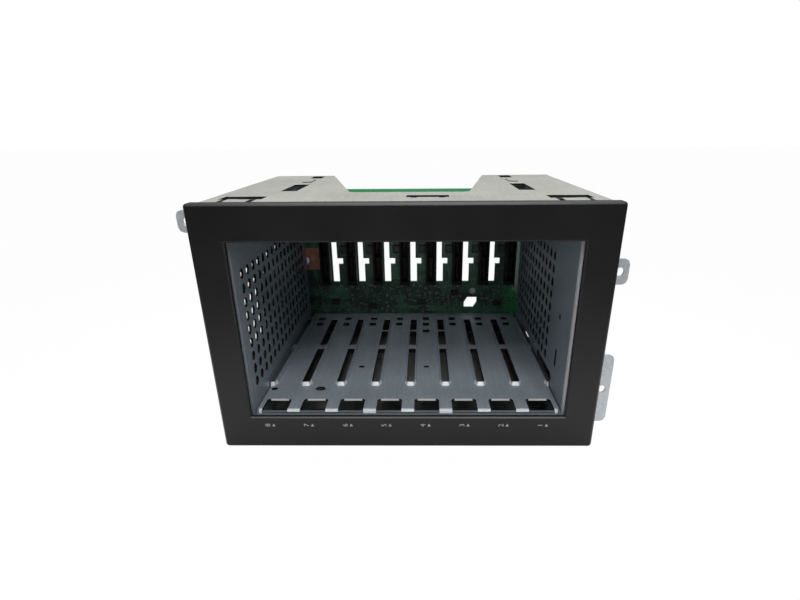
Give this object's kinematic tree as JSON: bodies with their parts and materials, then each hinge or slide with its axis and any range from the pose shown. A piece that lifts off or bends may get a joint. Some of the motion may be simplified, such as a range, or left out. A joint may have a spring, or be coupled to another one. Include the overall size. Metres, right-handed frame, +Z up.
{
  "type": "hot swap drive cage",
  "caption": "Sheet-steel drive cage with a black moulded front frame, guide plates for upright carriers, vented walls and a backplane board with drive connectors.",
  "frame": {"origin": "middle of the cage's flat underside, halfway between the front face and the backplane board's front face", "axes": "+X to the right seen from the front, +Y from the open front towards the backplane board, +Z up from the underside"},
  "size_m": [0.1777, 0.162, 0.1035],
  "materials": {
    "frame_plastic": "fine textured black moulding",
    "outer_steel": "zinc-plated sheet, satin",
    "inner_steel": "zinc-plated sheet, satin",
    "board": "green solder resist over glass laminate",
    "connector_plastic": "black moulded resin",
    "power_plastic": "natural nylon",
    "port_shell": "tin-plated shell",
    "led_plastic": "dark clear resin",
    "chip_resin": "black moulded resin",
    "capacitor_can": "plain can",
    "pad_copper": "tarnished copper",
    "ear_steel": "zinc-plated sheet, satin",
    "fastener_steel": "zinc-plated"
  },
  "bodies": {
    "root": {"backplane_board": "board", "backplane_screws": "fastener_steel", "bezel_frame": "frame_plastic", "board_capacitors": "capacitor_can", "bottom_panel": "outer_steel", "ceiling_guide_plate": "inner_steel", "controller_chip": "chip_resin", "data_port_left": "port_shell", "data_port_right": "port_shell", "drive_connector_1": "connector_plastic", "drive_connector_2": "connector_plastic", "drive_connector_3": "connector_plastic", "drive_connector_4": "connector_plastic", "drive_connector_5": "connector_plastic", "drive_connector_6": "connector_plastic", "drive_connector_7": "connector_plastic", "drive_connector_8": "connector_plastic", "ear_rivets": "fastener_steel", "floor_guide_plate": "inner_steel", "ground_nut": "fastener_steel", "ground_pad": "pad_copper", "ground_screw": "fastener_steel", "led_blocks": "led_plastic", "left_ear": "ear_steel", "left_inner_wall": "inner_steel", "left_outer_panel": "outer_steel", "power_connector": "power_plastic", "right_inner_wall": "inner_steel", "right_lower_ear": "ear_steel", "right_outer_panel": "outer_steel", "right_upper_ear": "ear_steel", "side_rivets": "fastener_steel", "top_plate": "outer_steel"}
  },
  "joints": []
}
